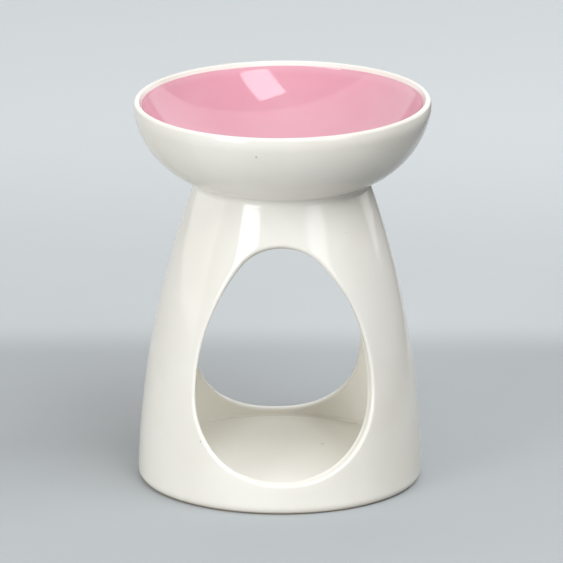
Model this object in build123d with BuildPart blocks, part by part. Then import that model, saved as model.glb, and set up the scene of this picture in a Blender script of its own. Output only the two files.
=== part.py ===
"""Essential oil burner in glazed earthenware, built the way it is luted together.

A tapered stand with two egg-shaped windows carries a shallow round dish. The stand
and the dish are cast apart, a floor plate for the tea light is set into the foot of
the stand, and fillets of slip join the three before firing. The hollow of the dish
is lined with a coloured glaze. Millimetres, +Z up, origin on the table on the axis.
"""

import os
from math import atan2, degrees, sqrt

from build123d import *

# Whole burner
burner_height = 120.7
cut_overrun = 5.0

# Dish: outside and hollow sweep up from a flat bottom, and a shoulder turns in to the lip
rim_radius = 45.63
dish_depth = 27.4
dish_base_radius = 16.7
bowl_base_radius = 10.0
dish_wall = 3.4
shoulder_drop = 4.4
lip_lean = 0.13
lip_thickness = 1.4
lip_round = 0.9
lip_inner_round = 0.5

# Glaze lining of the dish: thin at its upper edge, pooled on the bottom
lining_drop = 1.25
lining_edge = 0.25
lining_pool = 0.7

# Stand: a tapered wall whose side swells past a straight line from foot to neck
foot_radius = 43.8
foot_round = 2.5
foot_inner_round = 0.5
neck_radius = 26.6
stand_belly = 4.0
stand_wall = 4.4

# Windows: egg outlines with one crown height, the back one lower and fuller at the sill
front_half_width = 25.9
front_sill = 9.6
front_widest_share = 0.36
back_half_width = 25.6
back_sill = 8.7
back_widest_share = 0.3
window_head = 13.7
window_crown_radius = 15.7
window_round = 1.0

# Floor plate, raised clear of the table inside the foot
floor_top = 6.8
floor_thickness = 4.0

# Slip fillets where the pieces are luted together, the lower one over a bevelled edge
neck_fillet = 2.0
floor_fillet = 0.9

# Places that follow from the sizes above
dish_bottom = burner_height - dish_depth
dish_run = rim_radius - dish_base_radius
dish_rise = dish_depth - shoulder_drop
dish_curve_radius = (dish_run**2 + dish_rise**2) / (2 * dish_rise)
shoulder_height = burner_height - shoulder_drop
shoulder_slope = (dish_curve_radius - dish_rise, dish_run)
lip_radius = rim_radius - lip_lean
bowl_floor = dish_bottom + dish_wall
bowl_rim_radius = lip_radius - lip_thickness
neck_run = neck_radius - dish_base_radius
neck_height = dish_bottom + dish_curve_radius - sqrt(dish_curve_radius**2 - neck_run**2)
belly_height = (foot_round + neck_height) / 2
belly_radius = (foot_radius + neck_radius) / 2 + stand_belly
bore_radius = foot_radius - stand_wall
crown_bore_radius = neck_radius - stand_wall
window_apex = neck_height - window_head
window_reach = foot_radius + cut_overrun


def bowl_outline(base_radius, base_height, edge_radius):
    """Half outline, filled to the axis, of a flat bottom that sweeps up to the lip height."""
    with BuildSketch(Plane.XZ) as outline:
        with BuildLine():
            Line((0, burner_height), (0, base_height))
            Line((0, base_height), (base_radius, base_height))
            TangentArc((base_radius, base_height), (edge_radius, burner_height), tangent=(1, 0))
            Line((edge_radius, burner_height), (0, burner_height))
        make_face()
    return outline.sketch


def egg_outline(half_width, sill, widest_share):
    """Outline of a window: a round crown, long curved flanks and an elliptical bottom."""
    widest = sill + widest_share * (window_apex - sill)
    rise = window_apex - widest - window_crown_radius
    flank_reach = half_width**2 + rise**2 - window_crown_radius**2
    flank_radius = flank_reach / (2 * (half_width - window_crown_radius))
    flank_sweep = degrees(atan2(rise, flank_radius - half_width))
    crown_centre = (0, window_apex - window_crown_radius)
    right_centre = (half_width - flank_radius, widest)
    left_centre = (flank_radius - half_width, widest)
    with BuildSketch(Plane.XZ) as outline:
        with BuildLine():
            CenterArc(right_centre, flank_radius, 0, flank_sweep)
            CenterArc(crown_centre, window_crown_radius, flank_sweep, 180 - 2 * flank_sweep)
            CenterArc(left_centre, flank_radius, 180 - flank_sweep, flank_sweep)
            EllipticalCenterArc((0, widest), half_width, widest - sill, start_angle=180, arc_size=180)
        make_face()
    return outline.sketch


with BuildSketch(Plane.XZ) as dish_form:
    with BuildLine():
        Line((0, burner_height), (0, dish_bottom))
        Line((0, dish_bottom), (dish_base_radius, dish_bottom))
        TangentArc((dish_base_radius, dish_bottom), (rim_radius, shoulder_height), tangent=(1, 0))
        TangentArc((rim_radius, shoulder_height), (lip_radius, burner_height), tangent=shoulder_slope)
        Line((lip_radius, burner_height), (0, burner_height))
    make_face()

dish_outside = dish_form.sketch
dish_hollow = bowl_outline(bowl_base_radius, bowl_floor, bowl_rim_radius)
lining_surface = bowl_outline(
    bowl_base_radius, bowl_floor + lining_pool, bowl_rim_radius - lining_edge
)

front_window = egg_outline(front_half_width, front_sill, front_widest_share)
back_window = egg_outline(back_half_width, back_sill, back_widest_share)

# Half sections, drawn in the plane of X and Z
with BuildSketch(Plane.XZ) as dish_section:
    add(dish_outside)
    add(dish_hollow, mode=Mode.SUBTRACT)
    lip_corner = Vector(lip_radius, burner_height)
    fillet(dish_section.vertices().sort_by_distance(lip_corner)[0], radius=lip_round)
    bowl_corner = Vector(bowl_rim_radius, burner_height)
    fillet(dish_section.vertices().sort_by_distance(bowl_corner)[0], radius=lip_inner_round)

with BuildSketch(Plane.XZ) as lining_section:
    add(dish_hollow)
    add(lining_surface, mode=Mode.SUBTRACT)
    with Locations((0, burner_height - lining_drop)):
        Rectangle(rim_radius, lining_drop, align=(Align.MIN, Align.MIN), mode=Mode.SUBTRACT)

with BuildSketch(Plane.XZ) as stand_section:
    with BuildLine():
        Line((bore_radius, 0), (foot_radius - foot_round, 0))
        TangentArc((foot_radius - foot_round, 0), (foot_radius, foot_round), tangent=(1, 0))
        ThreePointArc(
            (foot_radius, foot_round),
            (belly_radius, belly_height),
            (neck_radius, neck_height),
        )
        Line((neck_radius, neck_height), (crown_bore_radius, neck_height))
        ThreePointArc(
            (crown_bore_radius, neck_height),
            (belly_radius - stand_wall, belly_height),
            (bore_radius, floor_top),
        )
        Line((bore_radius, floor_top), (bore_radius, 0))
    make_face()
    fillet(stand_section.vertices().group_by(Axis.Y)[0].sort_by(Axis.X)[0], radius=foot_inner_round)
    add(dish_outside, mode=Mode.SUBTRACT)

with BuildSketch(Plane.XZ) as floor_section:
    with Locations((0, floor_top)):
        Rectangle(bore_radius, floor_thickness, align=(Align.MIN, Align.MAX))
    upper_corners = floor_section.vertices().group_by(Axis.Y)[-1]
    chamfer(upper_corners.sort_by(Axis.X)[-1], length=floor_fillet)

with BuildSketch(Plane.XZ) as neck_seam_section:
    add(stand_section.sketch)
    add(dish_outside)
    neck_crease = Vector(neck_radius, neck_height)
    fillet(neck_seam_section.vertices().sort_by_distance(neck_crease)[0], radius=neck_fillet)
    add(stand_section.sketch, mode=Mode.SUBTRACT)
    add(dish_outside, mode=Mode.SUBTRACT)

with BuildSketch(Plane.XZ) as floor_seam_section:
    with BuildLine():
        Line((bore_radius - floor_fillet, floor_top), (bore_radius, floor_top - floor_fillet))
        Line((bore_radius, floor_top - floor_fillet), (bore_radius, floor_top + floor_fillet))
        TangentArc(
            (bore_radius - floor_fillet, floor_top),
            (bore_radius, floor_top + floor_fillet),
            tangent=(1, 0),
        )
    make_face()
    add(stand_section.sketch, mode=Mode.SUBTRACT)

# The pieces
with BuildPart() as stand:
    revolve(stand_section.sketch, axis=Axis.Z)
    extrude(front_window, amount=window_reach, mode=Mode.SUBTRACT)
    fillet(stand.edges(Select.NEW), radius=window_round)
    extrude(back_window, amount=-window_reach, mode=Mode.SUBTRACT)
    fillet(stand.edges(Select.NEW), radius=window_round)

with BuildPart() as floor_plate:
    revolve(floor_section.sketch, axis=Axis.Z)

with BuildPart() as floor_seam:
    revolve(floor_seam_section.sketch, axis=Axis.Z)

with BuildPart() as dish:
    revolve(dish_section.sketch, axis=Axis.Z)

with BuildPart() as neck_seam:
    revolve(neck_seam_section.sketch, axis=Axis.Z)

with BuildPart() as dish_lining:
    revolve(lining_section.sketch, axis=Axis.Z)

pieces = {
    "stand": stand,
    "floor_plate": floor_plate,
    "floor_seam": floor_seam,
    "dish": dish,
    "neck_seam": neck_seam,
    "dish_lining": dish_lining,
}
os.makedirs("parts", exist_ok=True)
for node, piece in pieces.items():
    piece.part.label = node
    export_step(piece.part, f"parts/{node}.step")
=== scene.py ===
"""Looks of the essential oil burner: a glazed stand, its floor, and a dish with a pink lining.

The pieces hold their sizes in millimetres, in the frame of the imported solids, and each
finished mesh is scaled to metres as it is set down. The glazes and the studio are in
metres and degrees.
"""

import logging
import math
from dataclasses import dataclass
from enum import Enum
from typing import Callable, NamedTuple, Sequence

import bmesh
import bpy
from mathutils import Color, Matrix, Quaternion, Vector, noise


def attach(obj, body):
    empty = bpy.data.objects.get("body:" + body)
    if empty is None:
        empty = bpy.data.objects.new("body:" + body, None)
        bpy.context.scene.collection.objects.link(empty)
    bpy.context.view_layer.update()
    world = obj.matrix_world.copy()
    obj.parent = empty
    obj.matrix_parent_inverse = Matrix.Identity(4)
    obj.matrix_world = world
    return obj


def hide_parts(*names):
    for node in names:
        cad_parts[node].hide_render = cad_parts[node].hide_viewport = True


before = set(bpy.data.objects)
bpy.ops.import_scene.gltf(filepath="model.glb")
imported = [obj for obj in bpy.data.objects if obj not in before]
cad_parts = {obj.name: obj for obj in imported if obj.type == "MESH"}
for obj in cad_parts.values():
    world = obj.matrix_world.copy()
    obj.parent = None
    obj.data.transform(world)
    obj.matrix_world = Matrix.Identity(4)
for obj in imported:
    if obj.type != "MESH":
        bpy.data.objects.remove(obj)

log = logging.getLogger("oil_burner")

MM = 0.001
BODY = "root"
INSIDE = "inside"
TABLE = "pale_table"
LATHE_STEPS = 192
WELD = 0.0005
SHARP_ANGLE = math.radians(40)
QUARTER = math.pi / 2
FULL_LEVEL = 255

UP = (0.0, 0.0, 1.0)
RIGHT = (1.0, 0.0, 0.0)
AWAY = (0.0, 1.0, 0.0)
NEAR = (0.0, -1.0, 0.0)

# A mix node's sockets for colours, by their numbers
MIX_SHARE, MIX_FIRST, MIX_SECOND, MIX_RESULT = 0, 6, 7, 2

Colour = tuple[float, float, float, float]
Way = tuple[float, float, float]
Spot = tuple[float, float]
Span = tuple[float, float]
Mesh = bmesh.types.BMesh
Vert = bmesh.types.BMVert
Socket = bpy.types.NodeSocket
Material = bpy.types.Material


def srgb(*levels: int) -> Colour:
    """Linear colour for shaders, from a display's red, green and blue of 0 to 255."""
    linear = Color([level / FULL_LEVEL for level in levels]).from_srgb_to_scene_linear()
    return (linear.r, linear.g, linear.b, 1.0)


def ease(share: float) -> float:
    """Smooth step of a share that is held between nought and one."""
    held = min(max(share, 0.0), 1.0)
    return held * held * (3 - 2 * held)


def around(angle: float, z: float, radius: float) -> Vector:
    """Spot on a round wall, by its angle from the front, height and radius."""
    return Vector((radius * math.sin(angle), -radius * math.cos(angle), z))


def wrap(x: float, z: float, radius: float) -> Vector:
    """Spot on the front of a round wall, by its distance aside, height and radius."""
    return around(math.asin(x / radius), z, radius)


def edges_along(mesh: Mesh, chain: Sequence[Vert], closed: bool) -> list[bmesh.types.BMEdge]:
    """Edges along a chain of vertices, which is a ring if it is closed."""
    after = [*chain[1:], chain[0]] if closed else chain[1:]
    return [mesh.edges.get(pair) for pair in zip(chain, after)]


def harden(name: str, mesh: Mesh) -> bpy.types.Mesh:
    """Turn a mesh into mesh data.

    Args:
        name: Name of the data.
        mesh: The mesh, which is used up.

    Returns:
        The mesh data.
    """
    data = bpy.data.meshes.new(name)
    mesh.to_mesh(data)
    mesh.free()
    return data


def add_object(name: str, data: bpy.types.ID) -> bpy.types.Object:
    """Add an object to the scene.

    Args:
        name: Name of the object.
        data: Its mesh, lamp or camera.

    Returns:
        The object.
    """
    item = bpy.data.objects.new(name, data)
    bpy.context.scene.collection.objects.link(item)
    return item


class Glaze(Enum):
    """The record's material slots."""

    CREAM = "cream_glaze"
    PINK = "pink_glaze"


@dataclass(frozen=True)
class Arc:
    """A circle in the plane of a half outline, by its centre and radius."""

    x: float
    z: float
    radius: float

    @classmethod
    def through(cls, first: Spot, middle: Spot, last: Spot) -> "Arc":
        """Find the circle through three spots.

        Args:
            first: One end of the arc.
            middle: A spot between the ends.
            last: The other end.

        Returns:
            The circle that passes through all three.
        """
        (ax, az), (bx, bz), (cx, cz) = first, middle, last
        twice = 2 * (ax * (bz - cz) + bx * (cz - az) + cx * (az - bz))
        aa, bb, cc = ax**2 + az**2, bx**2 + bz**2, cx**2 + cz**2
        x = (aa * (bz - cz) + bb * (cz - az) + cc * (az - bz)) / twice
        z = (aa * (cx - bx) + bb * (ax - cx) + cc * (bx - ax)) / twice
        return cls(x, z, math.hypot(ax - x, az - z))

    def reach(self, z: float) -> float:
        """Distance from the burner's axis to the outer side of the circle at a height."""
        return self.x + math.sqrt(self.radius**2 - (z - self.z) ** 2)

    def toward(self, other: "Arc", distance: float) -> Spot:
        """The spot that lies a distance from this centre, in line with another centre."""
        share = distance / math.hypot(other.x - self.x, other.z - self.z)
        return (self.x + share * (other.x - self.x), self.z + share * (other.z - self.z))

    def bearing(self, spot: Spot) -> float:
        """Angle of a spot about this centre, in radians from the level outward line."""
        return math.atan2(spot[1] - self.z, spot[0] - self.x)

    def nestle(self, other: "Arc", radius: float) -> "Arc":
        """Find the circle that rests in the outer crease between this circle and another.

        Args:
            other: The circle on the other side of the crease.
            radius: Radius of the circle that rests in the crease.

        Returns:
            The circle that touches both from outside, away from the burner's axis.
        """
        gap_x, gap_z = other.x - self.x, other.z - self.z
        gap = math.hypot(gap_x, gap_z)
        here, there = self.radius + radius, other.radius + radius
        along = (gap**2 + here**2 - there**2) / (2 * gap)
        aside = math.sqrt(here**2 - along**2)
        x = self.x + (along * gap_x + aside * gap_z) / gap
        z = self.z + (along * gap_z - aside * gap_x) / gap
        return Arc(x, z, radius)


class HalfOutline:
    """A half outline of a round piece, drawn by carrying one vertex through X and Z."""

    def __init__(self, x: float, z: float) -> None:
        """Start the outline at a spot."""
        self.mesh = bmesh.new()
        self.tip = self.mesh.verts.new((x, 0.0, z))

    def line(self, x: float, z: float, parts: int = 1) -> None:
        """Carry the tip along a straight line to a spot.

        Args:
            x: How far the spot is from the axis.
            z: Height of the spot.
            parts: Number of equal parts in the line.
        """
        step = (Vector((x, 0.0, z)) - self.tip.co) / parts
        for _ in range(parts):
            drawn = bmesh.ops.extrude_vert_indiv(self.mesh, verts=[self.tip])
            self.tip = drawn["verts"][0]
            bmesh.ops.translate(self.mesh, vec=step, verts=[self.tip])

    def turn(self, centre: Arc, angle: float, steps: int) -> None:
        """Carry the tip round a centre.

        Args:
            centre: The circle whose centre it goes round.
            angle: Angle in radians, anticlockwise if positive.
            steps: Number of equal steps.
        """
        drawn = bmesh.ops.spin(
            self.mesh,
            geom=[self.tip],
            cent=(centre.x, 0.0, centre.z),
            axis=NEAR,
            angle=angle,
            steps=steps,
        )
        self.tip = next(item for item in drawn["geom_last"] if isinstance(item, Vert))

    def turn_to(self, centre: Arc, spot: Spot, steps: int) -> None:
        """Carry the tip round a centre to the bearing of a spot, the short way."""
        angle = centre.bearing(spot) - centre.bearing((self.tip.co.x, self.tip.co.z))
        self.turn(centre, math.remainder(angle, math.tau), steps)

    def lathe(self, inside: float = 0.0) -> Mesh:
        """Spin the outline round the burner's axis and weld its seam and poles.

        Args:
            inside: Share of the stand's inner glaze that the piece is marked with.

        Returns:
            The closed mesh, in millimetres.
        """
        bmesh.ops.spin(
            self.mesh,
            geom=self.mesh.verts[:] + self.mesh.edges[:],
            cent=(0.0, 0.0, 0.0),
            axis=UP,
            angle=math.tau,
            steps=LATHE_STEPS,
            use_merge=True,
        )
        bmesh.ops.remove_doubles(self.mesh, verts=self.mesh.verts, dist=WELD)
        if inside:
            layer = self.mesh.verts.layers.float.new(INSIDE)
            for vert in self.mesh.verts:
                vert[layer] = inside
        return self.mesh


@dataclass(frozen=True)
class KilnWarp:
    """The slight settling of the ware in the kiln, the same through all its pieces.

    The rim leans to the left, the foot stands a little to the left of the neck, and
    the walls draw in by a little more or less.
    """

    rim_radius: float = 45.85
    lean: float = 1.0
    lean_from: float = 90.0
    lean_full: float = 117.0
    sway: float = 0.45
    draw_in: float = 0.1
    draw_length: float = 31.0

    def apply(self, mesh: Mesh) -> None:
        """Move a piece's vertices as the firing did.

        Args:
            mesh: The piece, in millimetres.
        """
        for vert in mesh.verts:
            x, y, z = vert.co
            rise = ease((z - self.lean_from) / (self.lean_full - self.lean_from))
            drop = self.lean * (1 - x / self.rim_radius) / 2 * rise
            drawn = self.draw_in * (1 + noise.noise(vert.co / self.draw_length)) / 2
            keep = 1 - drawn / self.rim_radius
            aside = self.sway * max(1 - z / self.lean_from, 0.0)
            vert.co = (x * keep - aside, y * keep, z - drop)


@dataclass(frozen=True)
class Piece:
    """One named piece of the burner, and the solid that it stands for."""

    name: str
    node: str
    glaze: Glaze

    def set_down(self, mesh: Mesh, warp: KilnWarp, finish: Material, levels: int = 0) -> None:
        """Fire a mesh into a finished piece that rides with the burner.

        Args:
            mesh: The piece in millimetres, which is used up.
            warp: How the kiln settled it.
            finish: Its glaze.
            levels: Levels of subdivision that smooth it.
        """
        warp.apply(mesh)
        bmesh.ops.scale(mesh, vec=Vector((MM, MM, MM)), verts=mesh.verts)
        bmesh.ops.recalc_face_normals(mesh, faces=mesh.faces)
        for edge in mesh.edges:
            edge.smooth = len(edge.link_faces) != 2 or edge.calc_face_angle() < SHARP_ANGLE
        for face in mesh.faces:
            face.smooth = True
        data = harden(self.name, mesh)
        data.materials.append(finish)
        item = add_object(self.name, data)
        if levels:
            smoother = item.modifiers.new("smooth_clay", "SUBSURF")
            smoother.levels = levels
            smoother.render_levels = levels
        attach(item, BODY)
        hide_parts(self.node)
        log.info("%s: %d faces, for %s", self.name, len(data.polygons), self.node)


class Grain(NamedTuple):
    """A noise by its waves to the metre, its detail, and the depth that it has as bumps."""

    waves: float
    detail: float
    depth: float = 0.0


class NodeBoard:
    """A board of shader nodes that draw on one set of coordinates."""

    def __init__(self, tree: bpy.types.NodeTree, place: str) -> None:
        """Open a board on a node tree, with its coordinates by their name."""
        self.tree = tree
        self.place = self.add("ShaderNodeTexCoord")[place]

    def feed(self, socket: Socket, value: object) -> None:
        """Link an output to a socket, or set the socket to a constant.

        Args:
            socket: The socket that is fed.
            value: The output or the constant.
        """
        if isinstance(value, Socket):
            self.tree.links.new(value, socket)
        else:
            socket.default_value = value

    def add(
        self, kind: str, inputs: dict[int | str, object] | None = None, **settings: object
    ) -> bpy.types.NodeOutputs:
        """Add a node.

        Args:
            kind: Type of the node.
            inputs: What its sockets are fed, by their names or numbers.
            **settings: Its properties.

        Returns:
            Its outputs.
        """
        node = self.tree.nodes.new(kind)
        for name, value in settings.items():
            setattr(node, name, value)
        for key, value in (inputs or {}).items():
            self.feed(node.inputs[key], value)
        return node.outputs

    def measure(self, operation: str, other: Sequence[float]) -> Socket:
        """A measure of the coordinates against a vector."""
        inputs = {0: self.place, 1: other}
        return self.add("ShaderNodeVectorMath", inputs, operation=operation)["Value"]

    def along(self, way: Way) -> Socket:
        """How far the coordinates reach along a way."""
        return self.measure("DOT_PRODUCT", way)

    def noise(self, grain: Grain) -> Socket:
        """Level of a cloudy noise on the coordinates, from nought to one."""
        inputs = {"Vector": self.place, "Scale": grain.waves, "Detail": grain.detail}
        return self.add("ShaderNodeTexNoise", inputs)["Fac"]

    def math(self, operation: str, *values: object) -> Socket:
        """Result of a sum on sockets or numbers."""
        return self.add("ShaderNodeMath", dict(enumerate(values)), operation=operation)["Value"]

    def ramp(
        self, value: Socket, start: float, end: float, low: float = 0.0, high: float = 1.0
    ) -> Socket:
        """Smoothly carry a value between two bounds over to two other bounds."""
        inputs = dict(enumerate((value, start, end, low, high)))
        return self.add("ShaderNodeMapRange", inputs, interpolation_type="SMOOTHSTEP")["Result"]

    def blend(self, share: Socket, first: object, second: object) -> Socket:
        """Colour between two colours, by a share of the second."""
        inputs = {MIX_SHARE: share, MIX_FIRST: first, MIX_SECOND: second}
        return self.add("ShaderNodeMix", inputs, data_type="RGBA")[MIX_RESULT]


class SurfaceBoard(NodeBoard):
    """The node board of one surface, with its shader and its patterns."""

    freckle_core: float = 0.5
    dot_core: float = 0.45
    cloud_levels: Span = (0.35, 0.7)
    wear_levels: Span = (0.3, 0.75)
    wear_spread: float = 1.6

    def __init__(self, name: str) -> None:
        """Open a board with a principled shader.

        Args:
            name: Name of the material.
        """
        self.material = bpy.data.materials.new(name)
        self.material.use_nodes = True
        super().__init__(self.material.node_tree, "Object")
        self.shader = self.tree.nodes["Principled BSDF"]

    def paint(self, name: str, value: object) -> None:
        """Feed one of the shader's inputs by its name."""
        self.feed(self.shader.inputs[name], value)

    def mark(self, name: str) -> Socket:
        """Value of a mesh attribute, nought on a piece without it."""
        return self.add("ShaderNodeAttribute", attribute_name=name)["Fac"]

    def clouds(self, grain: Grain) -> Socket:
        """Share of the clouds in a noise."""
        return self.ramp(self.noise(grain), *self.cloud_levels)

    def wear(self, grain: Grain, gloss: float) -> Socket:
        """Roughness of a gloss that a noise dulls in patches."""
        return self.ramp(self.noise(grain), *self.wear_levels, gloss, gloss * self.wear_spread)

    def dot(self, spot: Sequence[float], size: float) -> Socket:
        """Mask of one round speck of a size about a spot."""
        gap = self.measure("DISTANCE", spot)
        return self.ramp(gap, self.dot_core * size, size, 1.0, 0.0)

    def freckles(self, cells: float, size: float, share: float) -> Socket:
        """Scatter small round specks over a loose lattice.

        Args:
            cells: Cells of the lattice to the metre.
            size: Size of a speck, as a share of a cell.
            share: Share of the cells that have a speck.

        Returns:
            Mask of the specks.
        """
        cell = self.add("ShaderNodeTexVoronoi", {"Vector": self.place, "Scale": cells})
        near = self.ramp(cell["Distance"], self.freckle_core * size, size, 1.0, 0.0)
        draw = self.add("ShaderNodeSeparateColor", {"Color": cell["Color"]})["Red"]
        return self.math("MULTIPLY", near, self.math("LESS_THAN", draw, share))

    def relief(self, layers: Sequence[Grain]) -> None:
        """Lay bumps over each other under the gloss.

        Args:
            layers: Noises of the bumps, with their depths.
        """
        under = {}
        for grain in layers:
            inputs = {"Distance": grain.depth, "Height": self.noise(grain), **under}
            under = {"Normal": self.add("ShaderNodeBump", inputs)["Normal"]}
        self.paint("Normal", under["Normal"])


@dataclass(frozen=True)
class CreamGlaze:
    """Gloss cream glaze over pale earthenware, with a few iron specks and a bare foot.

    Inside the stand it is thinner, warmer and less glossy, and paler: the paler colour is
    painted light that brightens the stand's interior. Each speck has its place and its size.
    """

    body: Colour = srgb(237, 234, 225)
    shade: Colour = srgb(232, 228, 216)
    inner: Colour = srgb(244, 241, 231)
    # Paler than the body: painted light for the stand's interior
    speck: Colour = srgb(140, 128, 116)
    clay: Colour = srgb(214, 203, 186)
    gloss: float = 0.09
    inner_gloss: float = 0.35
    sheen: float = 0.5
    inner_sheen: float = 0.12
    bare_span: Span = (0.0002, 0.0007)
    bare_stray: float = 0.0008
    bare_dull: float = 0.6
    bare_edge: Grain = Grain(190.0, 2.0)
    clouding: Grain = Grain(26.0, 3.0)
    wear: Grain = Grain(60.0, 4.0)
    ripples: tuple[Grain, ...] = (Grain(45.0, 1.0, 0.00025), Grain(420.0, 2.0, 0.000012))
    freckle_cells: float = 210.0
    freckle_size: float = 0.05
    freckle_share: float = 0.06
    speck_strength: float = 0.42
    specks: tuple[tuple[float, float, float, float], ...] = (
        (-0.00876, -0.04434, 0.11422, 0.00055),
        (0.01297, 0.00879, 0.0068, 0.00075),
        (-0.02543, -0.03465, 0.02108, 0.0004),
    )

    def make(self) -> Material:
        """Mix the glaze.

        Returns:
            The material.
        """
        board = SurfaceBoard(Glaze.CREAM.value)
        colour = board.blend(board.clouds(self.clouding), self.body, self.shade)
        inside = board.mark(INSIDE)
        # Painted light: the inside mark turns the colour to the paler inner one
        colour = board.blend(inside, colour, self.inner)
        mask = board.freckles(self.freckle_cells, self.freckle_size, self.freckle_share)
        for *spot, size in self.specks:
            mask = board.math("MAXIMUM", mask, board.dot(spot, size))
        iron = board.math("MULTIPLY", mask, self.speck_strength)
        colour = board.blend(iron, colour, self.speck)
        stray = board.math("MULTIPLY", board.noise(self.bare_edge), -self.bare_stray)
        edge = board.math("ADD", board.along(UP), stray)
        bare = board.ramp(edge, *self.bare_span, 1.0, 0.0)
        board.paint("Base Color", board.blend(bare, colour, self.clay))
        fade = self.inner_sheen - self.sheen
        sheen = board.math("MULTIPLY_ADD", inside, fade, self.sheen)
        board.paint("Specular IOR Level", sheen)
        satin = board.math("MULTIPLY", inside, self.inner_gloss - self.gloss)
        dull = board.math("ADD", satin, board.math("MULTIPLY", bare, self.bare_dull))
        board.paint("Roughness", board.math("ADD", board.wear(self.wear, self.gloss), dull))
        board.relief(self.ripples)
        return board.material


@dataclass(frozen=True)
class PinkGlaze:
    """Gloss pink glaze, thin and pale along its upper edge, with clouds of a deeper pink."""

    body: Colour = srgb(219, 161, 174)
    deep: Colour = srgb(216, 153, 167)
    pale: Colour = srgb(237, 204, 207)
    gloss: float = 0.06
    edge_span: Span = (0.1165, 0.1188)
    edge_share: float = 0.2
    clouding: Grain = Grain(38.0, 3.0)
    wear: Grain = Grain(70.0, 4.0)
    ripples: tuple[Grain, ...] = (Grain(40.0, 1.0, 0.0002), Grain(380.0, 2.0, 0.00001))

    def make(self) -> Material:
        """Mix the glaze.

        Returns:
            The material.
        """
        board = SurfaceBoard(Glaze.PINK.value)
        colour = board.blend(board.clouds(self.clouding), self.body, self.deep)
        thin = board.ramp(board.along(UP), *self.edge_span, 0.0, self.edge_share)
        board.paint("Base Color", board.blend(thin, colour, self.pale))
        board.paint("Roughness", board.wear(self.wear, self.gloss))
        board.relief(self.ripples)
        return board.material


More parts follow.
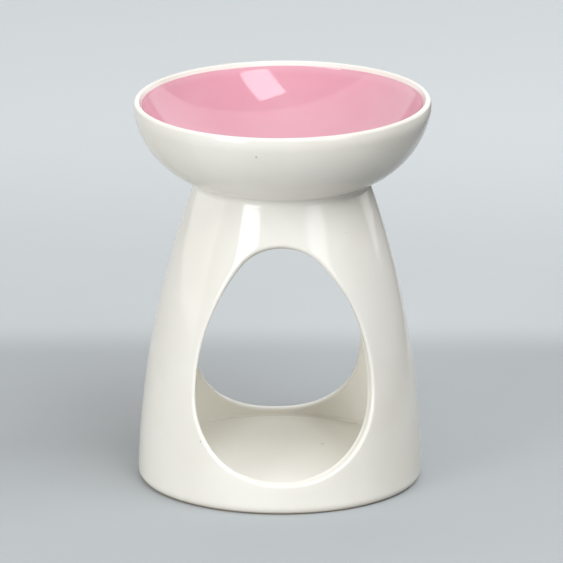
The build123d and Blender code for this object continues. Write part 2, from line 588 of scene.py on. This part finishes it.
@dataclass
class Dish:
    """The shallow dish: a flat bottom, one sweep up to a shoulder, and a lip turned in."""

    height: float = 120.7
    rim_radius: float = 45.63
    depth: float = 27.4
    base_radius: float = 16.7
    bowl_base_radius: float = 10.0
    wall: float = 3.4
    shoulder_drop: float = 4.4
    lip_lean: float = 0.13
    lip_thickness: float = 1.4
    lip_round: float = 0.9
    lip_inner_round: float = 0.5
    lining_drop: float = 1.25
    lining_edge: float = 0.25
    lining_pool: float = 0.7
    edge_wave: float = 0.22
    edge_waves: float = 2.6
    edge_seed: float = 4.0
    edge_reach: float = 8.0
    base_steps: int = 5
    side_steps: int = 36
    shoulder_steps: int = 10
    lip_steps: int = 8
    lip_inner_steps: int = 6
    hollow_steps: int = 40
    lining_steps: int = 44
    bead_steps: int = 8

    @staticmethod
    def sweep(base_radius: float, bottom: float, edge: Spot) -> Arc:
        """Find the arc that leaves a flat bottom level and reaches up to an edge.

        Args:
            base_radius: Radius of the flat bottom.
            bottom: Height of the flat bottom.
            edge: The edge.

        Returns:
            The arc.
        """
        run, rise = edge[0] - base_radius, edge[1] - bottom
        radius = (run**2 + rise**2) / (2 * rise)
        return Arc(base_radius, bottom + radius, radius)

    @property
    def bottom(self) -> float:
        """Height of the dish's underside."""
        return self.height - self.depth

    @property
    def shoulder_edge(self) -> Spot:
        """Spot where the outer side ends and the shoulder starts."""
        return (self.rim_radius, self.height - self.shoulder_drop)

    @property
    def outside(self) -> Arc:
        """The arc of the dish's outer side, up to the shoulder."""
        return self.sweep(self.base_radius, self.bottom, self.shoulder_edge)

    @property
    def shoulder(self) -> Arc:
        """Find the arc that carries on from the outer side and turns in to the lip.

        Returns:
            The arc.
        """
        outside, (x, z) = self.outside, self.shoulder_edge
        way_x, way_z = (outside.x - x) / outside.radius, (outside.z - z) / outside.radius
        along = self.shoulder_drop * way_z - self.lip_lean * way_x
        radius = (self.lip_lean**2 + self.shoulder_drop**2) / (2 * along)
        return Arc(x + radius * way_x, z + radius * way_z, radius)

    def bowl(self, inset: float = 0.0, lift: float = 0.0) -> Arc:
        """The arc of the hollow, set in at the lip and lifted on the bottom by a lining."""
        edge = (self.rim_radius - self.lip_lean - self.lip_thickness - inset, self.height)
        return self.sweep(self.bowl_base_radius, self.bottom + self.wall + lift, edge)

    def lip_arc(self, arc: Arc, distance: float, radius: float) -> Arc:
        """Rounding of the lip's top whose centre lies a distance from that of an arc."""
        z = self.height - radius
        return Arc(arc.x + math.sqrt(distance**2 - (z - arc.z) ** 2), z, radius)

    def build_dish(self) -> Mesh:
        """Turn the dish.

        Returns:
            The dish, in millimetres.
        """
        shoulder, hollow, inner = self.shoulder, self.bowl(), self.lip_inner_round
        outer_lip = self.lip_arc(shoulder, shoulder.radius - self.lip_round, self.lip_round)
        inner_lip = self.lip_arc(hollow, hollow.radius + inner, inner)
        outline = HalfOutline(0.0, self.bottom)
        outline.line(self.base_radius, self.bottom, self.base_steps)
        outline.turn_to(self.outside, self.shoulder_edge, self.side_steps)
        outline.turn_to(shoulder, (outer_lip.x, outer_lip.z), self.shoulder_steps)
        outline.turn_to(outer_lip, (outer_lip.x, self.height), self.lip_steps)
        outline.line(inner_lip.x, self.height)
        outline.turn_to(inner_lip, inner_lip.toward(hollow, inner), self.lip_inner_steps)
        outline.turn_to(hollow, (hollow.x, self.bottom), self.hollow_steps)
        outline.line(0.0, self.bottom + self.wall, self.base_steps)
        return outline.lathe()

    def build_lining(self) -> Mesh:
        """Pour the lining, with a soft bead and a slow wave along its upper edge.

        Returns:
            The lining, in millimetres.
        """
        top, waves = self.height - self.lining_drop, self.edge_waves
        surface, hollow = self.bowl(self.lining_edge, self.lining_pool), self.bowl()
        half = (hollow.reach(top) - surface.reach(top)) / 2
        bead = Arc(surface.reach(top - half) + half, top - half, half)
        pool = self.bottom + self.wall + self.lining_pool
        outline = HalfOutline(0.0, pool)
        outline.line(surface.x, pool, self.base_steps)
        outline.turn_to(surface, (surface.reach(bead.z), bead.z), self.lining_steps)
        outline.turn(bead, -math.pi, self.bead_steps)
        outline.turn_to(hollow, (hollow.x, self.bottom), self.lining_steps)
        outline.line(0.0, self.bottom + self.wall, self.base_steps)
        mesh = outline.lathe()
        for vert in mesh.verts:
            near = ease((vert.co.z - top + self.edge_reach) / self.edge_reach)
            way = vert.co.xy.normalized() if near else Vector((0.0, 0.0))
            wave = noise.noise((way.x * waves, way.y * waves, self.edge_seed))
            vert.co.z += near * self.edge_wave * wave
        return mesh

    def dress(self, cream: Material, pink: Material, warp: KilnWarp) -> None:
        """Build the dish and its lining, and set them down in their glazes."""
        Piece("glazed_dish", "dish", Glaze.CREAM).set_down(self.build_dish(), warp, cream)
        Piece("pink_lining", "dish_lining", Glaze.PINK).set_down(self.build_lining(), warp, pink)


class Facing(Enum):
    """The side of the stand that a window opens to."""

    FRONT = -1
    BACK = 1


@dataclass(frozen=True)
class EggWindow:
    """The egg outline of a window: a round crown, long flanks and a rounded bottom.

    A fullness of two makes the bottom an ellipse, and more fills its corners. The shift
    carries the lower part aside, and the tip the top of the crown. The cut slants: it
    carries the inner edge aside by the skew, first at the crown and then from the widest
    spot down, and its crown down by the droop.
    """

    facing: Facing
    half_width: float
    sill: float
    widest_share: float
    shift: float = 0.0
    tip: float = 0.0
    fullness: float = 2.0
    skew: Span = (0.0, 0.0)
    droop: float = 0.0
    crown_radius: float = 15.7
    tip_length: float = 21.0
    flank_steps: int = 31
    crown_steps: int = 22
    sill_steps: int = 60

    @property
    def count(self) -> int:
        """Number of vertices round the outline."""
        return 2 * self.flank_steps + self.crown_steps + self.sill_steps

    def widest(self, apex: float) -> float:
        """Height of the widest spot, below a crown's top."""
        return self.sill + self.widest_share * (apex - self.sill)

    def slant(self, spot: Spot, apex: float) -> Spot:
        """Find the spot of the inner edge that a spot of the outline is cut through to.

        Args:
            spot: Spot of the outline.
            apex: Height of the crown's top.

        Returns:
            The spot of the inner edge.
        """
        x, z = spot
        low = ease((apex - z) / (apex - self.widest(apex)))
        aside = self.skew[0] + low * (self.skew[1] - self.skew[0])
        return (x + aside, z - self.droop * (z - self.sill) / (apex - self.sill))

    def draw(self, apex: float) -> HalfOutline:
        """Draw the outline in the plane of X and Z.

        Args:
            apex: Height of the crown's top.

        Returns:
            The outline, whose vertices run anticlockwise from its widest spot.
        """
        wide, crown_radius, widest = self.half_width, self.crown_radius, self.widest(apex)
        rise = apex - widest - crown_radius
        flank_radius = (wide**2 + rise**2 - crown_radius**2) / (2 * (wide - crown_radius))
        sweep = math.atan2(rise, flank_radius - wide)
        crown = Arc(0.0, apex - crown_radius, crown_radius)
        outline = HalfOutline(wide, widest)
        first = outline.tip
        outline.turn(Arc(wide - flank_radius, widest, flank_radius), sweep, self.flank_steps)
        outline.turn(crown, math.pi - 2 * sweep, self.crown_steps)
        outline.turn(Arc(flank_radius - wide, widest, flank_radius), sweep, self.flank_steps)
        outline.turn(Arc(0.0, widest, wide), math.pi, self.sill_steps)
        bmesh.ops.weld_verts(outline.mesh, targetmap={outline.tip: first})
        power = 2 / self.fullness
        for vert in outline.mesh.verts:
            across, down = vert.co.x / wide, (widest - vert.co.z) / wide
            if down > 0:
                vert.co.x = wide * math.copysign(abs(across) ** power, across)
                vert.co.z = widest - (widest - self.sill) * down**power
            vert.co.x += self.shift * ease((apex - vert.co.z) / (apex - widest))
            vert.co.x += self.tip * ease(1 - (apex - vert.co.z) / self.tip_length)
        return outline


@dataclass
class Stand:
    """The tapered stand: a swelling wall on a rounded foot, with an egg window each way.

    The glaze turns to the inner one from a share of the wall's depth. The floor and its
    fillet have shares of the inner glaze.
    """

    dish: Dish
    foot_radius: float = 43.8
    foot_round: float = 2.5
    foot_inner_round: float = 0.5
    foot_share: float = 0.6
    neck_radius: float = 26.6
    belly: float = 4.0
    wall: float = 4.4
    windows: tuple[EggWindow, ...] = (
        EggWindow(
            Facing.FRONT,
            half_width=26.9,
            sill=9.6,
            widest_share=0.35,
            shift=0.65,
            tip=-1.0,
            fullness=2.2,
            skew=(0.6, -1.5),
            droop=1.6,
        ),
        EggWindow(
            Facing.BACK, half_width=25.8, sill=8.7, widest_share=0.36, shift=-0.45, fullness=2.25
        ),
    )
    window_head: float = 13.2
    window_round: float = 1.5
    window_inner_round: float = 1.1
    inside_from: float = 0.3
    inside_run: float = 0.5
    floor_top: float = 6.8
    floor_thickness: float = 4.0
    floor_round: float = 0.6
    floor_fillet: float = 0.9
    floor_fillet_turn: float = 79.0
    floor_share: float = 1.0
    fillet_share: float = 0.3
    neck_fillet: float = 2.0
    neck_fillet_root: Spot = (0.6, 0.4)
    panel_foot_steps: int = 36
    panel_neck_steps: int = 32
    outer_rings: int = 13
    inner_rings: int = 9
    outer_margin: float = 2.6
    inner_margin: float = 1.7
    round_segments: int = 4
    round_profile: float = 0.5
    foot_steps: int = 6
    foot_inner_steps: int = 3
    floor_steps: int = 12
    floor_round_steps: int = 5
    floor_low_steps: int = 6
    floor_fillet_steps: int = 10
    neck_fillet_steps: int = 14

    def seat(self, radius: float) -> float:
        """Height of the dish's outer side at a radius."""
        arc = self.dish.outside
        return arc.z - math.sqrt(arc.radius**2 - (radius - arc.x) ** 2)

    @property
    def neck_height(self) -> float:
        """Height at which the stand's outer side meets the dish."""
        return self.seat(self.neck_radius)

    @property
    def crown_height(self) -> float:
        """Height at which the stand's inner side meets the dish."""
        return self.seat(self.neck_radius - self.wall)

    @property
    def bore_radius(self) -> float:
        """Radius inside the foot."""
        return self.foot_radius - self.wall

    @property
    def foot_low(self) -> float:
        """Height at which the inner side ends above the foot."""
        return self.foot_share * self.floor_top

    def side(self, inset: float, low: float) -> Arc:
        """Find the arc of the wall's side.

        Args:
            inset: How far it is set in from the outer side.
            low: Height of its lower end.

        Returns:
            The arc.
        """
        middle = (self.foot_round + self.neck_height) / 2
        bulge = (self.foot_radius + self.neck_radius) / 2 + self.belly
        return Arc.through(
            (self.foot_radius - inset, low),
            (bulge - inset, middle),
            (self.neck_radius - inset, self.neck_height),
        )

    @property
    def outside(self) -> Arc:
        """The arc of the stand's outer side."""
        return self.side(0.0, self.foot_round)

    @property
    def inside(self) -> Arc:
        """The arc of the stand's inner side, above the floor."""
        return self.side(self.wall, self.floor_top)

    def inner_reach(self, z: float) -> float:
        """Radius of the inner side at a height, straight below the floor's top."""
        return self.inside.reach(z) if z > self.floor_top else self.bore_radius

    @staticmethod
    def widen(plan: Sequence[Spot], margin: float) -> list[Spot]:
        """Set a closed outline out, square to its own run.

        Args:
            plan: The outline.
            margin: How far it is set out.

        Returns:
            The wider outline.
        """
        wider = []
        for index, (x, z) in enumerate(plan):
            after, before = plan[(index + 1) % len(plan)], plan[index - 1]
            run_x, run_z = after[0] - before[0], after[1] - before[1]
            run = math.hypot(run_x, run_z)
            wider.append((x + margin * run_z / run, z - margin * run_x / run))
        return wider

    def panel(self, window: EggWindow, low: float, high: float) -> list[Spot]:
        """Draw the edge of one half of the wall, as angles round the axis and heights.

        Args:
            window: The window in this half.
            low: Height of the lower edge.
            high: Height of the upper edge.

        Returns:
            One spot for each spot of the window's outline, in the same order.
        """
        half_foot, half_neck = self.panel_foot_steps // 2, self.panel_neck_steps // 2
        side = (window.count - self.panel_foot_steps - self.panel_neck_steps) // 2
        right = [(QUARTER * step / half_foot, low) for step in range(half_foot)]
        right += [(QUARTER, low + (high - low) * step / side) for step in range(side)]
        right += [(QUARTER * (1 - step / half_neck), high) for step in range(half_neck)]
        left = [(-angle, z) for angle, z in reversed(right[1:])]
        spots = right + [(0.0, high)] + left
        start = window.sill_steps // 2
        return spots[start:] + spots[:start]

    @staticmethod
    def grow(
        mesh: Mesh, chain: Sequence[Vert], spots: Sequence[Vector], closed: bool
    ) -> list[Vert]:
        """Extrude a chain of edges and carry its new side to given spots.

        Args:
            mesh: The mesh that the chain is in.
            chain: Vertices of the chain, in order.
            spots: Where each vertex's copy goes.
            closed: Whether the chain is a ring.

        Returns:
            The new vertices, in the same order.
        """
        edges = edges_along(mesh, chain, closed)
        grown = bmesh.ops.extrude_edge_only(mesh, edges=edges)["geom"]
        fresh = {item for item in grown if isinstance(item, Vert)}
        moved = []
        for vert, spot in zip(chain, spots):
            copy = next(e.other_vert(vert) for e in vert.link_edges if e.other_vert(vert) in fresh)
            copy.co = spot
            moved.append(copy)
        return moved

    def line_wall(
        self,
        mesh: Mesh,
        ring: list[Vert],
        plan: Sequence[Spot],
        edge: Sequence[Spot],
        reach: Callable[[float], float],
        rings: int,
    ) -> list[Vert]:
        """Spread one side of the wall from a window to the edge of its half.

        Args:
            mesh: The mesh that the window's ring is in.
            ring: Vertices of the window's ring on this side.
            plan: The first ring away from the window, in X and Z.
            edge: Edge of the half, as angles and heights.
            reach: Radius of this side at a height.
            rings: Number of rings between the first one and the edge.

        Returns:
            The vertices at the edge.
        """
        first = [(math.asin(x / reach(z)), z) for x, z in plan]
        for step in range(rings + 1):
            share = step / rings
            spots = []
            for (angle, z), (edge_angle, edge_z) in zip(first, edge):
                spots.append((angle + share * (edge_angle - angle), z + share * (edge_z - z)))
            ring = self.grow(mesh, ring, [around(a, z, reach(z)) for a, z in spots], True)
        return ring

    def build_half(self, window: EggWindow) -> Mesh:
        """Raise one half of the stand round its window.

        Args:
            window: The window in this half.

        Returns:
            The half, in millimetres, open along the plane of X and Z.
        """
        apex = self.neck_height - self.window_head
        mesh = window.draw(apex).mesh
        outer_ring = mesh.verts[:]
        plan = [(vert.co.x, vert.co.z) for vert in outer_ring]
        skewed = [window.slant(spot, apex) for spot in plan]
        outer_reach, inner_reach = self.outside.reach, self.inner_reach
        for vert, (x, z) in zip(outer_ring, plan):
            vert.co = wrap(x, z, outer_reach(z))
        inner_spots = [wrap(x, z, inner_reach(z)) for x, z in skewed]
        inner_ring = self.grow(mesh, outer_ring, inner_spots, True)
        outer_edge = self.panel(window, self.foot_round, self.neck_height)
        inner_edge = self.panel(window, self.foot_low, self.crown_height)
        outer_plan = self.widen(plan, self.outer_margin)
        inner_plan = self.widen(skewed, self.inner_margin)
        outer_end = self.line_wall(
            mesh, outer_ring, outer_plan, outer_edge, outer_reach, self.outer_rings
        )
        self.line_wall(mesh, inner_ring, inner_plan, inner_edge, inner_reach, self.inner_rings)
        self.close_edges(mesh, outer_end, outer_edge)
        bmesh.ops.remove_doubles(mesh, verts=mesh.verts, dist=WELD)
        rounds = ((outer_ring, self.window_round), (inner_ring, self.window_inner_round))
        for ring, amount in rounds:
            bmesh.ops.bevel(
                mesh,
                geom=edges_along(mesh, ring, True),
                offset=amount,
                offset_type="WIDTH",
                affect="EDGES",
                segments=self.round_segments,
                profile=self.round_profile,
                material=-1,
            )
        if window.facing is Facing.BACK:
            bmesh.ops.scale(mesh, vec=Vector((1.0, -1.0, 1.0)), verts=mesh.verts)
        return mesh

    def close_edges(self, mesh: Mesh, ring: Sequence[Vert], edge: Sequence[Spot]) -> None:
        """Carry the outer side round the foot and over the crown to meet the inner side.

        Args:
            mesh: One half of the stand.
            ring: Vertices at the edge of its outer side.
            edge: The same edge, as angles and heights.
        """
        rows = sorted(zip(edge, ring), key=lambda row: row[0][0])
        crown = [(angle, vert) for (angle, z), vert in rows if z == self.neck_height]
        foot = [(angle, vert) for (angle, z), vert in rows if z == self.foot_round]
        heel, toe = self.foot_round, self.foot_inner_round
        path = []
        for step in range(1, self.foot_steps + 1):
            turn = QUARTER * step / self.foot_steps
            radius = self.foot_radius - heel + heel * math.cos(turn)
            path.append((radius, heel * (1 - math.sin(turn))))
        for step in range(self.foot_inner_steps + 1):
            turn = QUARTER * step / self.foot_inner_steps
            radius = self.bore_radius + toe - toe * math.sin(turn)
            path.append((radius, toe * (1 - math.cos(turn))))
        path.append((self.bore_radius, self.foot_low))
        over = [(self.neck_radius - self.wall, self.crown_height)]
        for row, way in ((crown, over), (foot, path)):
            chain = [vert for _, vert in row]
            for radius, z in way:
                chain = self.grow(mesh, chain, [around(a, z, radius) for a, _ in row], False)

    def build_stand(self) -> Mesh:
        """Raise both halves of the stand and weld them together.

        Returns:
            The stand, in millimetres.
        """
        mesh = bmesh.new()
        for window in self.windows:
            carrier = harden("half", self.build_half(window))
            mesh.from_mesh(carrier)
            bpy.data.meshes.remove(carrier)
        bmesh.ops.remove_doubles(mesh, verts=mesh.verts, dist=WELD)
        # The inside mark brings the inner glaze: less gloss, and a paler colour that is painted
        # light
        inside, outside = mesh.verts.layers.float.new(INSIDE), self.outside
        for vert in mesh.verts:
            depth = (outside.reach(vert.co.z) - vert.co.xy.length) / self.wall
            vert[inside] = ease((depth - self.inside_from) / self.inside_run)
        return mesh

    def build_floor(self) -> Mesh:
        """Turn the floor plate, with the bevelled edge that its fillet fills.

        Returns:
            The floor plate, in millimetres.
        """
        low, soft = self.floor_top - self.floor_thickness, self.floor_round
        corner = Arc(self.bore_radius - soft, low + soft, soft)
        outline = HalfOutline(0.0, self.floor_top)
        outline.line(self.bore_radius - self.floor_fillet, self.floor_top, self.floor_steps)
        outline.line(self.bore_radius, self.floor_top - self.floor_fillet)
        outline.line(self.bore_radius, low + soft)
        outline.turn(corner, -QUARTER, self.floor_round_steps)
        outline.line(0.0, low, self.floor_low_steps)
        return outline.lathe(self.floor_share)

    def build_floor_fillet(self) -> Mesh:
        """Turn the fillet of slip between the floor and the wall.

        Returns:
            The fillet, in millimetres.
        """
        inner = self.bore_radius - self.floor_fillet
        centre = Arc(inner, self.floor_top + self.floor_fillet, self.floor_fillet)
        outline = HalfOutline(inner, self.floor_top)
        outline.turn(centre, math.radians(self.floor_fillet_turn), self.floor_fillet_steps)
        outline.line(self.bore_radius, self.floor_top - self.floor_fillet)
        outline.line(inner, self.floor_top)
        return outline.lathe(self.fillet_share)

    def build_neck_fillet(self) -> Mesh:
        """Turn the fillet of slip in the crease between the stand and the dish.

        Returns:
            The fillet, in millimetres.
        """
        side, bowl = self.outside, self.dish.outside
        hollow = side.nestle(bowl, self.neck_fillet)
        upper = hollow.toward(bowl, self.neck_fillet)
        lower = hollow.toward(side, self.neck_fillet)
        inward, down = self.neck_fillet_root
        outline = HalfOutline(*upper)
        outline.turn_to(hollow, lower, self.neck_fillet_steps)
        outline.line(self.neck_radius - inward, self.neck_height - down)
        outline.line(*upper)
        return outline.lathe()

    def dress(self, cream: Material, warp: KilnWarp) -> None:
        """Build the stand, its floor and the fillets, and set them down.

        Args:
            cream: Their glaze.
            warp: How the kiln settled them.
        """
        made = (
            ("glazed_stand", "stand", self.build_stand(), 1),
            ("floor_disc", "floor_plate", self.build_floor(), 0),
            ("floor_fillet", "floor_seam", self.build_floor_fillet(), 0),
            ("neck_fillet", "neck_seam", self.build_neck_fillet(), 0),
        )
        for name, node, mesh, levels in made:
            Piece(name, node, Glaze.CREAM).set_down(mesh, warp, cream, levels)


@dataclass(frozen=True)
class Softbox:
    """A soft lamp that hangs at a bearing from the burner and faces it.

    The bearing runs from the front, and is positive to the right. A lamp that isn't
    mirrored lights the glaze but leaves no patch on its gloss, and one that doesn't shed
    light leaves only the patch.
    """

    name: str
    bearing: float
    elevation: float
    distance: float
    width: float
    height: float
    power: float
    roll: float = 0.0
    mirrored: bool = True
    shed: bool = True
    colour: Way = (0.97, 1.0, 1.05)
    aim: float = 0.06

    def hang(self) -> None:
        """Hang the lamp and turn it to the burner."""
        lift = math.radians(self.elevation)
        out = around(math.radians(self.bearing), math.sin(lift), math.cos(lift))
        data = bpy.data.lights.new(self.name, "AREA")
        data.shape = "RECTANGLE"
        data.size = self.width
        data.size_y = self.height
        data.energy = self.power
        data.color = self.colour
        lamp = add_object(self.name, data)
        lamp.location = Vector((0.0, 0.0, self.aim)) + out * self.distance
        lamp.rotation_mode = "QUATERNION"
        spin = Quaternion(UP, math.radians(self.roll))
        lamp.rotation_quaternion = (-out).to_track_quat("-Z", "Y") @ spin
        lamp.visible_camera = False
        lamp.visible_glossy = self.mirrored
        lamp.visible_diffuse = self.shed


@dataclass
class Studio:
    """The pale table, the soft light and the camera."""

    table_radius: float = 3.0
    table_sides: int = 96
    table: Colour = srgb(178, 182, 183)
    behind: Colour = srgb(204, 208, 209)
    far: Colour = srgb(223, 227, 228)
    behind_span: Span = (0.125, 0.165)
    behind_share: float = 0.88
    far_span: Span = (0.2, 0.42)
    clouding: Grain = Grain(30.0, 3.0)
    cloud_share: float = 0.12
    # Seen only by the burner's light and gloss: a painted warm bounce and a painted dark room
    painted_warm_bounce: Colour = srgb(177, 177, 173)
    painted_dark_room: Colour = srgb(30, 30, 31)
    painted_dark_room_span: Span = (0.01, 0.065)
    edge_span: Span = (0.12, 0.19)
    table_roughness: float = 0.7
    table_sheen: float = 0.2
    room: Colour = (1.0, 1.0, 1.0, 1.0)
    room_level: float = 0.3
    room_lean: Way = (-0.13, -0.03, 0.32)
    bright_way: Way = (-0.26, 0.88, 0.4)
    bright_shine: float = 1.15
    bright_span: Span = (0.185, 0.205)
    camera_run: float = 3.37675
    camera_height: float = 1.05451
    camera_pitch: float = 16.381
    camera_bearing: float = -1.15
    camera_roll: float = 0.2
    camera_aside: float = -0.0001
    camera_sight: float = 20.0
    lens: float = 730.42
    sensor: float = 36.0
    lamps: tuple[Softbox, ...] = (
        Softbox("key_left", -40.5, 11.8, 1.6, 0.59, 0.61, 10.8),
        Softbox("fill_right", 40.5, 11.7, 1.6, 0.59, 0.6, 3.2),
        Softbox("bowl_light", 20.0, 50.0, 1.6, 0.6, 0.9, 7.9, roll=15.0),
        Softbox("bowl_patch", 20.0, 50.0, 1.58, 0.59, 0.89, 3.0, roll=15.0, shed=False),
        Softbox("high_right", 70.0, 53.0, 1.4, 0.9, 0.9, 7.0, mirrored=False),
    )

    def lay_table(self) -> None:
        """Lay the pale table, which grows paler to the back.

        The light that it throws up is painted a little warmer, and fades to a painted dark on
        the right, painted shade on the burner's right; its gloss mirrors a painted dark room
        there.
        """
        mesh = bmesh.new()
        bmesh.ops.create_circle(
            mesh, cap_ends=True, radius=self.table_radius, segments=self.table_sides
        )
        data = harden(TABLE, mesh)
        top = add_object(TABLE, data)
        board = SurfaceBoard(TABLE)
        depth, right = board.along(AWAY), board.along(RIGHT)
        back = board.ramp(depth, *self.behind_span, 0.0, self.behind_share)
        cloud = board.math("MULTIPLY", board.noise(self.clouding), self.cloud_share)
        tone = board.math("ADD", back, cloud)
        pale = board.ramp(depth, *self.far_span)
        view = board.blend(pale, board.blend(tone, self.table, self.behind), self.far)
        # Painted shade: the thrown light fades to the painted dark right of the burner
        fade = board.ramp(right, *self.painted_dark_room_span)
        thrown_painted_light = board.blend(fade, self.painted_warm_bounce, self.painted_dark_room)
        # Painted reflection: the gloss sees a painted dark room right of the burner
        edge = board.ramp(right, *self.edge_span)
        mirrored = board.blend(edge, view, self.painted_dark_room)
        look = board.add("ShaderNodeLightPath")
        colour = board.blend(look["Is Glossy Ray"], thrown_painted_light, mirrored)
        board.paint("Base Color", board.blend(look["Is Camera Ray"], colour, view))
        board.paint("Roughness", self.table_roughness)
        board.paint("Specular IOR Level", self.table_sheen)
        data.materials.append(board.material)

    def light(self) -> None:
        """Fill the room with an even light, which gloss mirrors brighter on one side."""
        world = bpy.data.worlds.new("soft_room")
        bpy.context.scene.world = world
        world.use_nodes = True
        board = NodeBoard(world.node_tree, "Generated")
        room = board.tree.nodes["Background"]
        board.feed(room.inputs["Color"], self.room)
        way = board.along(self.bright_way)
        bright = board.ramp(way, *self.bright_span, 0.0, self.bright_shine)
        glossy = board.add("ShaderNodeLightPath")["Is Glossy Ray"]
        even = board.math("ADD", board.along(self.room_lean), self.room_level)
        board.feed(room.inputs["Strength"], board.math("MULTIPLY_ADD", bright, glossy, even))
        for lamp in self.lamps:
            lamp.hang()

    def set_camera(self) -> None:
        """Stand the camera where the burner was seen from."""
        data = bpy.data.cameras.new("camera")
        data.sensor_fit = "HORIZONTAL"
        data.sensor_width = self.sensor
        data.lens = self.lens
        data.clip_end = self.camera_sight
        camera = add_object("camera", data)
        spin = Quaternion(UP, math.radians(self.camera_bearing))
        tilt = Quaternion(RIGHT, math.radians(90.0 - self.camera_pitch))
        roll = Quaternion(UP, math.radians(self.camera_roll))
        spot = Vector((self.camera_aside, -self.camera_run, self.camera_height))
        camera.rotation_mode = "QUATERNION"
        camera.rotation_quaternion = spin @ tilt @ roll
        camera.location = spin @ spot
        bpy.context.scene.camera = camera

    def set_up(self) -> None:
        """Set up the table, the light and the camera."""
        self.lay_table()
        self.light()
        self.set_camera()
        bpy.context.scene.view_settings.view_transform = "Standard"


def main() -> None:
    """Build the burner from the foot up, and set up the studio round it."""
    logging.basicConfig(level=logging.INFO, format="%(message)s")
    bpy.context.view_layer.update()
    warp = KilnWarp()
    cream, pink = CreamGlaze().make(), PinkGlaze().make()
    dish = Dish()
    Stand(dish).dress(cream, warp)
    dish.dress(cream, pink, warp)
    Studio().set_up()


if __name__ == "__main__":
    main()
